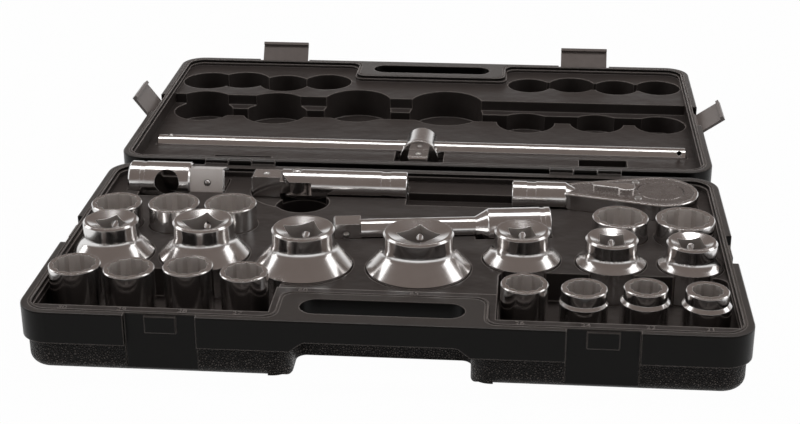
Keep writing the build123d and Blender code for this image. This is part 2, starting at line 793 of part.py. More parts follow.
# Lid tray: a high shelf along the handle side, a lower deck towards the hinge, a riser between
LID_RISER_V = LID_STEP_V - TRAY_T
with BuildPart() as lid_tray:
    with BuildSketch(Plane.XY.offset(HALF_H + LID_PLATEAU)):
        lid_field(RIM_W - TRAY_LIP, LID_RISER_V, CASE_D / 2)
    extrude(amount=-TRAY_T)
    with BuildSketch(Plane.XY.offset(HALF_H + LID_SHELF)):
        lid_field(RIM_W + UPSTAND, -CASE_D / 2, LID_STEP_V)
    extrude(amount=-TRAY_T)
    with BuildSketch(Plane.XY.offset(HALF_H + LID_SHELF)):
        lid_field(RIM_W + UPSTAND, LID_RISER_V, LID_STEP_V)
    extrude(amount=LID_PLATEAU - LID_SHELF - TRAY_T)
    cups(-1, LID_SHELF, lid_pockets)
    cups(-1, LID_PLATEAU, bar_pockets)
    with BuildSketch(Plane.XY.offset(HALF_H + LID_PLATEAU)):
        lid_field(RIM_W + UPSTAND, LID_STEP_V, CASE_D / 2)
    extrude(amount=LID_SHELF - LID_PLATEAU, mode=Mode.SUBTRACT)
    tray_rim(-1, LID_PLATEAU, Mode.SUBTRACT)
    dig(-1, LID_SHELF, lid_pockets)
    dig(-1, LID_PLATEAU, bar_pockets)
hand_in(lid_tray.part, "lid_tray")

with BuildPart() as lid_tray_rim:
    tray_rim(-1, LID_PLATEAU)
hand_in(lid_tray_rim.part, "lid_tray_rim")


def turned_upright(x, y, profile):
    """A body turned about a vertical line, from its radius and height profile."""
    with BuildSketch(Plane(origin=(x, y, 0), x_dir=(1, 0, 0), z_dir=(0, -1, 0))) as face:
        with BuildLine():
            Polyline(*profile, close=True)
        make_face()
    revolve(face.sketch, axis=Axis((x, y, 0), (0, 0, 1)))


def star(x, y, size, turn):
    """The twelve-point opening for a hexagon of that size."""
    with Locations((x, y)):
        RegularPolygon(size / 2, 6, major_radius=False, rotation=turn)
        RegularPolygon(size / 2, 6, major_radius=False, rotation=turn + HALF_STAR)


def cross_hole(x, y, z, reach):
    """The hole in a drive end that takes the spring ball."""
    with BuildSketch(Plane(origin=(x, y, z), x_dir=(1, 0, 0), z_dir=(0, 1, 0))) as face:
        Circle(BALL_R)
    extrude(face.sketch, amount=reach, mode=Mode.SUBTRACT)


# Sockets standing mouth up, drive end in the pocket
for size, x, v, mouth, drive, top, length, turn in UP_SOCKETS:
    top_z = HALF_H + top
    low = top_z - length
    square = DRIVE_34 + DRIVE_PLAY
    with BuildPart() as socket:
        turned_upright(
            x,
            v,
            [
                (UP_CORE_R, low),
                (drive / 2 - SOCKET_EDGE, low),
                (drive / 2, low + SOCKET_EDGE),
                (drive / 2, top_z - MOUTH_RING - MOUTH_SLOPE),
                (mouth / 2, top_z - MOUTH_RING),
                (mouth / 2, top_z - SOCKET_EDGE),
                (mouth / 2 - SOCKET_EDGE, top_z),
                (UP_CORE_R, top_z),
            ],
        )
        with BuildSketch(Plane.XY.offset(top_z)):
            star(x, v, size, turn)
        extrude(amount=-MOUTH_DEPTH, mode=Mode.SUBTRACT)
        with BuildSketch(Plane.XY.offset(low)):
            with Locations((x, v)):
                Rectangle(square, square, rotation=turn)
        extrude(amount=length - MOUTH_DEPTH, mode=Mode.SUBTRACT)
        cross_hole(x, v, low + square / 2, drive)
    hand_in(socket.part, f"socket_{size}mm")

# Sockets standing drive up, skirt in the pocket
for size, x, v, skirt, drive, drive_square, top, length, turn in DOWN_SOCKETS:
    top_z = HALF_H + top
    low = top_z - length
    square = drive_square + DRIVE_PLAY
    deep = DEEP_34 if drive_square == DRIVE_34 else DEEP_1
    core = square / 2 - 2 * SOCKET_EDGE
    skirt_z = HALF_H + BASE_PLATEAU + SKIRT_LAND
    with BuildPart() as socket:
        turned_upright(
            x,
            v,
            [
                (core, low),
                (skirt / 2 - SOCKET_EDGE, low),
                (skirt / 2, low + SOCKET_EDGE),
                (skirt / 2, skirt_z),
                (drive / 2, top_z - DRIVE_LAND),
                (drive / 2, top_z - 2 * SOCKET_EDGE),
                (drive / 2 - 2 * SOCKET_EDGE, top_z),
                (drive / 2 - LEAD_RIM, top_z),
                (core, top_z - LEAD_IN),
            ],
        )
        rings = edges().filter_by(GeomType.CIRCLE)
        neck = rings.filter_by(lambda e: abs(e.center().Z - top_z + DRIVE_LAND) < 0.01)
        fillet(neck, FLARE_R)
        with BuildSketch(Plane.XY.offset(top_z)):
            with Locations((x, v)):
                Rectangle(square, square, rotation=turn)
        extrude(amount=-deep, mode=Mode.SUBTRACT)
        with BuildSketch(Plane.XY.offset(low)):
            star(x, v, size, turn)
        extrude(amount=length - deep, mode=Mode.SUBTRACT)
        cross_hole(x, v, top_z - square / 2, drive)
    hand_in(socket.part, f"socket_{size}mm")


def turned_along(plane, profile):
    """A body turned about a plane's x line, from its station and radius profile."""
    with BuildSketch(plane) as face:
        with BuildLine():
            Polyline(*profile, close=True)
        make_face()
    revolve(face.sketch, axis=Axis(plane.origin, plane.x_dir))


def square_bar(plane, start, length, side):
    """A square drive along a plane's x line."""
    end = Plane(origin=plane.origin, x_dir=plane.z_dir, z_dir=plane.x_dir)
    with BuildSketch(end.offset(start)) as face:
        Rectangle(side, side)
    extrude(face.sketch, amount=length)


def ball_hole(seat):
    """The blind hole of a spring ball, sunk from a drive face."""
    with BuildSketch(seat) as face:
        Circle(BALL_R + BALL_PLAY)
    extrude(face.sketch, amount=-BALL_HOLE_DEEP, mode=Mode.SUBTRACT)


def ball_at(seat, name):
    """A spring ball standing a little proud of a drive face."""
    with BuildPart(seat.offset(BALL_OUT - BALL_R)) as ball:
        Sphere(BALL_R)
    hand_in(ball.part, name)


# One-inch sliding head, lying with its drive to the right and rolled a little in its pocket
HEAD1_BALL_X = HEAD1_TIP - HEAD1_TANG / 2
head1_up = (0, -cos(radians(HEAD1_ROLL)), sin(radians(HEAD1_ROLL)))
head1_line = Plane(origin=(0, HEAD1_V, HALF_H + TOOL_Z), x_dir=(1, 0, 0), z_dir=head1_up)
head1_seat = Plane(
    origin=(HEAD1_BALL_X, HEAD1_V, HALF_H + TOOL_Z), x_dir=(1, 0, 0), z_dir=head1_up
).offset(DRIVE_1 / 2)
RING_X = HEAD1_X0 + HEAD1_RING
with BuildPart() as head_1in:
    turned_along(
        head1_line,
        [
            (HEAD1_X0, 0),
            (HEAD1_X0, HEAD1_R - 2 * SOCKET_EDGE),
            (HEAD1_X0 + 2 * SOCKET_EDGE, HEAD1_R),
            (RING_X, HEAD1_R),
            (RING_X, HEAD1_R - RING_T),
            (RING_X + RING_W, HEAD1_R - RING_T),
            (RING_X + RING_W, HEAD1_R),
            (HEAD1_X1 - 2 * SOCKET_EDGE, HEAD1_R),
            (HEAD1_X1, HEAD1_R - 2 * SOCKET_EDGE),
            (HEAD1_X1, 0),
        ],
    )
    square_bar(head1_line, HEAD1_X1 - WALL, HEAD1_TANG + WALL, DRIVE_1)
    chamfer(faces().sort_by(Axis.X)[-1].edges(), 2 * SOCKET_EDGE)
    with BuildSketch(head1_line):
        with Locations((HEAD1_BORE_X, 0)):
            Circle(HEAD1_BORE_R)
    extrude(amount=HEAD1_R + HEAD1_BORE_R, both=True, mode=Mode.SUBTRACT)
    ball_hole(head1_seat)
hand_in(head_1in.part, "sliding_head_1in")
ball_at(head1_seat, "sliding_head_1in_ball")

# Flex head: forked sleeve, drive tang swinging on an upright pin
FLEX_Z = HALF_H + FLEX_LEVEL
flex_line = Plane(origin=(0, FLEX_V, FLEX_Z), x_dir=(1, 0, 0), z_dir=(0, -1, 0))
PIN_HEAD_Z = FLEX_Z + FLEX_R - PIN_HEAD_SINK
FLEX_RING = FLEX_X1 - FLEX_RING_IN
with BuildPart() as flex_body:
    turned_along(
        flex_line,
        [
            (FLEX_PIN_X - FLEX_R, 0),
            (FLEX_PIN_X - FLEX_R, FLEX_R),
            (FLEX_RING, FLEX_R),
            (FLEX_RING, FLEX_R - RING_T),
            (FLEX_RING + 2 * RING_W, FLEX_R - RING_T),
            (FLEX_RING + 2 * RING_W, FLEX_R),
            (FLEX_X1 - SOCKET_EDGE, FLEX_R),
            (FLEX_X1, FLEX_R - SOCKET_EDGE),
            (FLEX_X1, BAR_R + BORE_PLAY),
            (FLEX_X1 - FLEX_BORE, BAR_R + BORE_PLAY),
            (FLEX_X1 - FLEX_BORE, 0),
        ],
    )
    with BuildSketch(Plane.XY.offset(FLEX_Z - FLEX_R)):
        with Locations((FLEX_PIN_X - FLEX_R / 2, FLEX_V)):
            Rectangle(FLEX_R, 2 * FLEX_R)
        with Locations((FLEX_PIN_X, FLEX_V)):
            Circle(FLEX_R, mode=Mode.SUBTRACT)
    extrude(amount=2 * FLEX_R, mode=Mode.SUBTRACT)
    with BuildSketch(Plane.XY.offset(FLEX_Z - FLEX_GAP / 2)):
        with Locations((FLEX_PIN_X - FLEX_R + (FLEX_R + FLEX_SLOT_END) / 2, FLEX_V)):
            Rectangle(FLEX_R + FLEX_SLOT_END, 2 * FLEX_R)
    extrude(amount=FLEX_GAP, mode=Mode.SUBTRACT)
    with BuildSketch(Plane.XY.offset(FLEX_Z)):
        with Locations((FLEX_PIN_X, FLEX_V)):
            Circle(FLEX_PIN_R + PIN_PLAY)
    extrude(amount=FLEX_R, both=True, mode=Mode.SUBTRACT)
    with BuildSketch(Plane.XY.offset(PIN_HEAD_Z)):
        with Locations((FLEX_PIN_X, FLEX_V)):
            Circle(PIN_HEAD_R + SEAT)
    extrude(amount=PIN_HEAD_T, mode=Mode.SUBTRACT)
hand_in(flex_body.part, "flex_head_body")

FLEX_BALL_X = FLEX_TIP + FLEX_TANG / 2
flex_seat = Plane(origin=(FLEX_BALL_X, FLEX_V, FLEX_Z + DRIVE_34 / 2))
with BuildPart() as flex_tang:
    with BuildSketch(Plane.XY.offset(FLEX_Z - FLEX_BLADE / 2)):
        with Locations((FLEX_PIN_X - FLEX_NECK / 2, FLEX_V)):
            Rectangle(FLEX_NECK, DRIVE_34)
        with Locations((FLEX_PIN_X, FLEX_V)):
            Circle(FLEX_EYE_R)
            Circle(FLEX_PIN_R + PIN_PLAY, mode=Mode.SUBTRACT)
    extrude(amount=FLEX_BLADE)
    square_bar(flex_line, FLEX_TIP, FLEX_TANG, DRIVE_34)
    chamfer(faces().sort_by(Axis.X)[0].edges(), 2 * SOCKET_EDGE)
    ball_hole(flex_seat)
hand_in(flex_tang.part, "flex_head_tang")
ball_at(flex_seat, "flex_head_ball")

with BuildPart() as flex_pin:
    turned_upright(
        FLEX_PIN_X,
        FLEX_V,
        [
            (0, FLEX_Z - FLEX_R + SOCKET_EDGE),
            (FLEX_PIN_R, FLEX_Z - FLEX_R + SOCKET_EDGE),
            (FLEX_PIN_R, PIN_HEAD_Z),
            (PIN_HEAD_R, PIN_HEAD_Z),
            (PIN_HEAD_R - RING_T, PIN_HEAD_Z + PIN_HEAD_T - RING_T),
            (PIN_HEAD_R - 3 * RING_T, PIN_HEAD_Z + PIN_HEAD_T),
            (0, PIN_HEAD_Z + PIN_HEAD_T),
        ],
    )
hand_in(flex_pin.part, "flex_head_pin")

# Ratchet head: pear-shaped body with a sleeve for the bar
sleeve_line = Plane(
    origin=(0, RAT_V, HALF_H + RAT_SLEEVE_Z), x_dir=(1, 0, 0), z_dir=(0, -1, 0)
)
RAT_T = RAT_TOP - RAT_LOW
GEAR_T = RAT_TOP - PLATE_T - 2 * RUN_PLAY - CHAMBER_LOW
SLEEVE_RING = RAT_SLEEVE_X0 + SLEEVE_RING_IN
pear_body = pear(RAT_NECK_X, RAT_NECK_R, RAT_X, RAT_R, RAT_V)
PLATE_IN_R = RAT_R - PLATE_IN
pear_plate = pear(RAT_NECK_X + PLATE_IN, RAT_NECK_R - PLATE_IN, RAT_X, PLATE_IN_R, RAT_V)
screw_spots = [(RAT_X + SCREW_DX, RAT_V - SCREW_DV), (RAT_X + SCREW_DX, RAT_V + SCREW_DV)]
with BuildPart() as ratchet_body:
    with BuildSketch(Plane.XY.offset(HALF_H + RAT_LOW)):
        pear_body(0, 1)
    extrude(amount=RAT_T)
    chamfer(edges().group_by(Axis.Z)[-1], SOCKET_EDGE)
    chamfer(edges().group_by(Axis.Z)[0], 2 * SOCKET_EDGE)
    turned_along(
        sleeve_line,
        [
            (RAT_SLEEVE_X0, 0),
            (RAT_SLEEVE_X0, RAT_SLEEVE_R - SOCKET_EDGE),
            (RAT_SLEEVE_X0 + SOCKET_EDGE, RAT_SLEEVE_R),
            (SLEEVE_RING, RAT_SLEEVE_R),
            (SLEEVE_RING, RAT_SLEEVE_R - RING_T),
            (SLEEVE_RING + 2 * RING_W, RAT_SLEEVE_R - RING_T),
            (SLEEVE_RING + 2 * RING_W, RAT_SLEEVE_R),
            (RAT_SLEEVE_X1, RAT_SLEEVE_R),
            (RAT_SLEEVE_X1 + RAT_SLEEVE_R, RAT_SLEEVE_R - 2 * RING_W),
            (RAT_SLEEVE_X1 + RAT_SLEEVE_R, 0),
        ],
    )
    with BuildSketch(Plane.YZ.offset(RAT_SLEEVE_X0)):
        with Locations((RAT_V, HALF_H + RAT_SLEEVE_Z)):
            Circle(BAR_R + BORE_PLAY)
    extrude(amount=RAT_BORE, mode=Mode.SUBTRACT)
    with BuildSketch(Plane.XY.offset(HALF_H + RAT_TOP)):
        pear_plate(RUN_PLAY, 1)
    extrude(amount=-PLATE_T, mode=Mode.SUBTRACT)
    with BuildSketch(Plane.XY.offset(HALF_H + RAT_TOP - PLATE_T)):
        with Locations((RAT_X, RAT_V)):
            Circle(CHAMBER_R)
        with Locations((PAWL_AT, RAT_V)):
            Circle(PAWL_HOUSE_R)
    extrude(amount=CHAMBER_LOW - RAT_TOP + PLATE_T, mode=Mode.SUBTRACT)
    with BuildSketch(Plane.XY.offset(HALF_H + RAT_LOW)):
        with Locations((RAT_X, RAT_V)):
            Circle(JOURNAL_R)
    extrude(amount=RAT_T, mode=Mode.SUBTRACT)
    with BuildSketch(Plane.XY.offset(HALF_H + RAT_TOP)):
        with Locations(*screw_spots):
            Circle(SCREW_R + PIN_PLAY)
    extrude(amount=-SCREW_L - PLATE_T, mode=Mode.SUBTRACT)
hand_in(ratchet_body.part, "ratchet_body")

with BuildPart() as ratchet_plate:
    with BuildSketch(Plane.XY.offset(HALF_H + RAT_TOP - PLATE_T)):
        pear_plate(0, 1)
        with Locations((RAT_X, RAT_V)):
            Circle(DISC_R + RUN_PLAY, mode=Mode.SUBTRACT)
        with Locations((PAWL_AT, RAT_V)):
            Circle(LEVER_SHAFT_R + BORE_PLAY, mode=Mode.SUBTRACT)
        with Locations(*screw_spots):
            Circle(SCREW_R + PIN_PLAY, mode=Mode.SUBTRACT)
    extrude(amount=PLATE_T)
hand_in(ratchet_plate.part, "ratchet_cover_plate")

with BuildPart() as ratchet_screws:
    for x, v in screw_spots:
        turned_upright(
            x,
            v,
            [
                (0, HALF_H + RAT_TOP - SCREW_L),
                (SCREW_R, HALF_H + RAT_TOP - SCREW_L),
                (SCREW_R, HALF_H + RAT_TOP),
                (SCREW_HEAD_R, HALF_H + RAT_TOP),
                (SCREW_HEAD_R - RING_T, HALF_H + RAT_TOP + SCREW_HEAD_T),
                (0, HALF_H + RAT_TOP + SCREW_HEAD_T),
            ],
        )
    with BuildSketch(Plane.XY.offset(HALF_H + RAT_TOP + SCREW_HEAD_T)):
        with Locations(*screw_spots):
            Rectangle(2 * SCREW_HEAD_R, SOCKET_EDGE, rotation=HALF_STAR)
    extrude(amount=-RING_T, mode=Mode.SUBTRACT)
hand_in(ratchet_screws.part, "ratchet_screws")

# Ratchet wheel: disc seen through the cover, teeth, journal and drive square
GEAR_TOP = HALF_H + RAT_TOP - PLATE_T - RUN_PLAY
DRIVE_LOW = HALF_H + RAT_LOW - RAT_DRIVE
drive_seat = Plane(
    origin=(RAT_X, RAT_V - DRIVE_34 / 2, DRIVE_LOW + RAT_DRIVE / 2), x_dir=(1, 0, 0), z_dir=(0, -1, 0)
)
TOOTH = 360.0 / GEAR_TEETH
with BuildPart() as ratchet_gear:
    with BuildSketch(Plane.XY.offset(GEAR_TOP)):
        with Locations((RAT_X, RAT_V)):
            Circle(GEAR_ROOT)
        with BuildLine():
            points = []
            for i in range(GEAR_TEETH):
                for angle, r in ((i * TOOTH, GEAR_R), ((i + 0.5) * TOOTH, GEAR_ROOT)):
                    points.append(
                        (RAT_X + r * cos(radians(angle)), RAT_V + r * sin(radians(angle)))
                    )
            Polyline(*points, close=True)
        make_face()
    extrude(amount=-GEAR_T)
    with BuildSketch(Plane.XY.offset(GEAR_TOP)):
        with Locations((RAT_X, RAT_V)):
            Circle(DISC_R)
    extrude(amount=PLATE_T + RUN_PLAY)
    chamfer(edges().group_by(Axis.Z)[-1], RING_T)
    with BuildSketch(Plane.XY.offset(GEAR_TOP - GEAR_T)):
        with Locations((RAT_X, RAT_V)):
            Circle(JOURNAL_R - BORE_PLAY)
    extrude(amount=HALF_H + RAT_LOW - GEAR_TOP + GEAR_T)
    with BuildSketch(Plane.XY.offset(HALF_H + RAT_LOW)):
        with Locations((RAT_X, RAT_V)):
            Rectangle(DRIVE_34, DRIVE_34)
    extrude(amount=-RAT_DRIVE)
    chamfer(faces().sort_by(Axis.Z)[0].edges(), 2 * SOCKET_EDGE)
    ball_hole(drive_seat)
hand_in(ratchet_gear.part, "ratchet_drive_wheel")
ball_at(drive_seat, "ratchet_ball")

# Reversing lever on top of the plate, its shaft reaching down into the pawl
LEVER_Z = HALF_H + RAT_TOP
PAWL_TOP = HALF_H + RAT_TOP - PLATE_T - RUN_PLAY
with BuildPart() as ratchet_lever:
    with BuildSketch(Plane.XY.offset(LEVER_Z)):
        with Locations((PAWL_AT, RAT_V)):
            Circle(LEVER_HUB_R)
        with Locations(
            (
                PAWL_AT - LEVER_L / 2 * cos(radians(LEVER_TURN)),
                RAT_V + LEVER_L / 2 * sin(radians(LEVER_TURN)),
            )
        ):
            SlotOverall(LEVER_L, LEVER_PADDLE_W, rotation=-LEVER_TURN)
    extrude(amount=LEVER_T)
    fillet(edges().group_by(Axis.Z)[-1], SOCKET_EDGE)
    with BuildSketch(Plane.XY.offset(LEVER_Z)):
        with Locations((PAWL_AT, RAT_V)):
            Circle(LEVER_SHAFT_R)
    extrude(amount=PAWL_TOP - GEAR_T - LEVER_Z)
hand_in(ratchet_lever.part, "ratchet_reversing_lever")

with BuildPart() as ratchet_pawl:
    with BuildSketch(Plane.XY.offset(PAWL_TOP)):
        with Locations((PAWL_AT, RAT_V)):
            Circle(PAWL_R)
            Circle(LEVER_SHAFT_R + PIN_PLAY, mode=Mode.SUBTRACT)
        with Locations((RAT_X, RAT_V)):
            Circle(GEAR_R + PAWL_BACK, mode=Mode.SUBTRACT)
    extrude(amount=-GEAR_T)
hand_in(ratchet_pawl.part, "ratchet_pawl")

# Extension bar, lying askew in front of the back row
ext_line = Plane(
    origin=(EXT_CX, EXT_CV, HALF_H + TOOL_Z), x_dir=(EXT_AX, EXT_AV, 0), z_dir=(EXT_AV, -EXT_AX, 0)
)
EXT_S0 = -EXT_L / 2
EXT_S1 = EXT_L / 2
EXT_RING = EXT_S1 - EXT_RING_IN
ball_x, ball_v = along_extension(EXT_S0 + EXT_MALE / 2)
ext_seat = Plane(
    origin=(ball_x + DRIVE_34 / 2 * EXT_AV, ball_v - DRIVE_34 / 2 * EXT_AX, HALF_H + TOOL_Z),
    x_dir=(EXT_AX, EXT_AV, 0),
    z_dir=(EXT_AV, -EXT_AX, 0),
)
with BuildPart() as extension:
    turned_along(
        ext_line,
        [
            (EXT_S0 + EXT_MALE, 0),
            (EXT_S0 + EXT_MALE, EXT_R - SOCKET_EDGE),
            (EXT_S0 + EXT_MALE + SOCKET_EDGE, EXT_R),
            (EXT_BIG_S - EXT_FLARE, EXT_R),
            (EXT_BIG_S - SOCKET_EDGE, EXT_BIG_R - SOCKET_EDGE),
            (EXT_BIG_S, EXT_BIG_R),
            (EXT_RING, EXT_BIG_R),
            (EXT_RING, EXT_BIG_R - RING_T),
            (EXT_RING + RING_W, EXT_BIG_R - RING_T),
            (EXT_RING + RING_W, EXT_BIG_R),
            (EXT_S1 - SOCKET_EDGE, EXT_BIG_R),
            (EXT_S1, EXT_BIG_R - SOCKET_EDGE),
            (EXT_S1, 0),
        ],
    )
    square_bar(ext_line, EXT_S0, EXT_MALE + WALL, DRIVE_34)
    chamfer(faces().sort_by(Axis.X)[0].edges(), 2 * SOCKET_EDGE)
    ext_end = Plane(origin=ext_line.origin, x_dir=ext_line.z_dir, z_dir=ext_line.x_dir)
    with BuildSketch(ext_end.offset(EXT_S1)):
        Rectangle(DRIVE_34 + DRIVE_PLAY, DRIVE_34 + DRIVE_PLAY)
    extrude(amount=-EXT_FEMALE, mode=Mode.SUBTRACT)
    ball_hole(ext_seat)
hand_in(extension.part, "extension_bar")
ball_at(ext_seat, "extension_ball")

# Sliding bar in the lid
BAR_Y = half_y(-1, BAR_V)
BAR_Z = HALF_H + BAR_DEEP
bar_line = Plane(origin=(0, BAR_Y, BAR_Z), x_dir=(1, 0, 0), z_dir=(0, -1, 0))
bar_seat = Plane(origin=(BAR_BALL_IN - BAR_L / 2, BAR_Y, BAR_Z + BAR_R))
with BuildPart() as bar:
    turned_along(
        bar_line,
        [
            (-BAR_L / 2, 0),
            (-BAR_L / 2, BAR_R - BAR_EDGE),
            (BAR_EDGE - BAR_L / 2, BAR_R),
            (BAR_L / 2 - BAR_EDGE, BAR_R),
            (BAR_L / 2, BAR_R - BAR_EDGE),
            (BAR_L / 2, 0),
        ],
    )
    ball_hole(bar_seat)
    with BuildSketch(Plane(origin=(BAR_L / 2 - BAR_HOLE_IN, BAR_Y, BAR_Z), x_dir=(1, 0, 0), z_dir=(0, -1, 1))):
        Circle(BAR_HOLE_R)
    extrude(amount=BAR_R + BAR_EDGE, both=True, mode=Mode.SUBTRACT)
hand_in(bar.part, "sliding_bar")
ball_at(bar_seat, "sliding_bar_ball")

# Three-quarter-inch sliding head on the bar, drive towards the hinge
t_line = Plane(origin=(T_X, half_y(-1, T_FAR), BAR_Z), x_dir=(0, -1, 0), z_dir=(-1, 0, 0))
t_seat = Plane(origin=(T_X, half_y(-1, T_NEAR + T_TANG / 2), BAR_Z + DRIVE_34 / 2))
with BuildPart() as t_head:
    turned_along(
        t_line,
        [
            (0, 0),
            (0, T_R - 2 * SOCKET_EDGE),
            (2 * SOCKET_EDGE, T_R),
            (T_BODY - 1.5 * T_COLLAR, T_R),
            (T_BODY - T_COLLAR, T_COLLAR_R),
            (T_BODY - SOCKET_EDGE, T_COLLAR_R),
            (T_BODY, T_COLLAR_R - SOCKET_EDGE),
            (T_BODY, 0),
        ],
    )
    square_bar(t_line, T_BODY - WALL, T_TANG + WALL, DRIVE_34)
    chamfer(faces().sort_by(Axis.Y)[0].edges(), 2 * SOCKET_EDGE)
    with BuildSketch(Plane.YZ.offset(T_X)):
        with Locations((BAR_Y, BAR_Z)):
            Circle(BAR_R + BORE_PLAY)
    extrude(amount=T_R, both=True, mode=Mode.SUBTRACT)
    ball_hole(t_seat)
hand_in(t_head.part, "sliding_head_34in")
ball_at(t_seat, "sliding_head_34in_ball")
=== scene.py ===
import json
import math

import bpy
from mathutils import Matrix, Vector


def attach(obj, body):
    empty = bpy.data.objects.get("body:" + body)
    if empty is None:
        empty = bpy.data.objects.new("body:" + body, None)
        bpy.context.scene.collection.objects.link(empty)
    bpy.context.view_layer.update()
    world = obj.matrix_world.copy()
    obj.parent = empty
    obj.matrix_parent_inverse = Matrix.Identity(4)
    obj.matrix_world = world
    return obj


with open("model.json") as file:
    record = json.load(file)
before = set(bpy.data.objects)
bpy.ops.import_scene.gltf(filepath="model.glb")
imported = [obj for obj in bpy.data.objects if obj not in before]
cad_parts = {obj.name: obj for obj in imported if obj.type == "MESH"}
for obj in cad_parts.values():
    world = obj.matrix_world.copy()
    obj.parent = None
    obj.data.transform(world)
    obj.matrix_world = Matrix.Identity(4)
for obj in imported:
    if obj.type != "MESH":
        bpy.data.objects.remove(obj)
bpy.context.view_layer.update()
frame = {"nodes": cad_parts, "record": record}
scene = bpy.context.scene
scene.view_settings.view_transform = "Standard"

# Places on the open case, in metres
BAND_Z = 0.025
LEDGE_Z = 0.048
LATCH_X = 0.166
RECESS_HALF = 0.0275
CASE_MID_Y = 0.162
CASE_HALF_Y = 0.318
HEAD_1IN_DRIVE_X = -0.1965

# Where the case's leather grain ends: its own soft edge, and the reach and fade of the outer walls, in metres
GRAIN_EDGE = 0.0004
WALL_REACH = 0.016
WALL_FADE = 0.004

# Painted edge highlights: their colour, the edge's nearness at which they begin and are full, and the edge's
# samples
PAINTED_EDGE_HIGHLIGHT = (0.45, 0.39, 0.36)
HIGHLIGHT_BEGINS = 0.02
HIGHLIGHT_FULL = 0.18
EDGE_SAMPLES = 6

# Raised size numbers on the tray, in metres
LEDGE_NUMBER_Y = -0.1405
DECK_NUMBER_Y = -0.097
LEDGE_NUMBER_X = {30: -0.244, 29: -0.198, 28: -0.151, 27: -0.109, 26: 0.104, 24: 0.153, 22: 0.201, 21: 0.245}
DECK_NUMBER_X = {60: -0.065, 65: 0.022}
NUMBER_H = 0.0075
NUMBER_RELIEF = 0.0004
NUMBER_EDGE = 0.0001

# Studio: floor half width and drop in metres, how white the floor is seen, the dim warm ceiling,
# the rise of the view at which the white horizon ends and the ceiling is full, and the room's even light
FLOOR_HALF = 6.0
FLOOR_DROP = 0.0006
FLOOR_GLOW = 0.985
CEILING = (0.19, 0.157, 0.142)
HORIZON_ENDS = 0.10
CEILING_FULL = 0.34
STUDIO_FILL = 0.12

# The photograph's viewpoint: place in metres, turns in degrees, focal length and width in pixels
EYE = (0.10382, -1.18957, 0.58628)
EYE_YAW = -4.847
EYE_PITCH = 23.174
EYE_ROLL = -0.183
FOCAL_PIXELS = 1574.14
PHOTO_WIDTH = 800
SENSOR_WIDTH = 36.0


class Value:
    """A number that varies over a finish: arithmetic on it adds Math nodes."""

    def __init__(self, finish, socket):
        self.finish = finish
        self.socket = socket

    def maths(self, operation, first, second):
        return self.finish.node("ShaderNodeMath", {"operation": operation}, {0: first, 1: second})

    def __add__(self, other):
        return self.maths("ADD", self, other)

    def __radd__(self, other):
        return self.maths("ADD", other, self)

    def __sub__(self, other):
        return self.maths("SUBTRACT", self, other)

    def __rsub__(self, other):
        return self.maths("SUBTRACT", other, self)

    def __mul__(self, other):
        return self.maths("MULTIPLY", self, other)

    def __rmul__(self, other):
        return self.maths("MULTIPLY", other, self)

    def __abs__(self):
        return self.maths("ABSOLUTE", self, 0)


class Nodes:
    """The shader nodes of one finish, of the floor or of the studio."""

    def __init__(self, tree):
        self.tree = tree

    def node(self, kind, settings=None, sockets=None, out=0):
        made = self.tree.nodes.new(kind)
        for key, value in (settings or {}).items():
            setattr(made, key, value)
        self.feed(made, sockets or {})
        return None if out is None else Value(self, made.outputs[out])

    def feed(self, made, sockets):
        for key, value in sockets.items():
            if isinstance(value, Value):
                self.tree.links.new(value.socket, made.inputs[key])
            else:
                made.inputs[key].default_value = value

    def ramp(self, value, low, high):
        """The value's course from low to high, brought to 0 to 1."""
        return self.node(
            "ShaderNodeMapRange",
            {"interpolation_type": "SMOOTHSTEP"},
            {"Value": value, "From Min": low, "From Max": high},
        )

    def tint(self, share, first, second):
        """The first colour, turning into the second by that share."""
        return self.node(
            "ShaderNodeMix",
            {"data_type": "RGBA"},
            {0: share, 6: (*first, 1), 7: (*second, 1)},
            2,
        )

    def in_view(self):
        """1 on rays of the camera and on mirrored or passed rays, 0 on rays that only carry light."""
        camera, mirrored, passed = (
            self.node("ShaderNodeLightPath", out=ray)
            for ray in ("Is Camera Ray", "Is Glossy Ray", "Is Transmission Ray")
        )
        return self.ramp(camera + mirrored + passed, 0, 1)


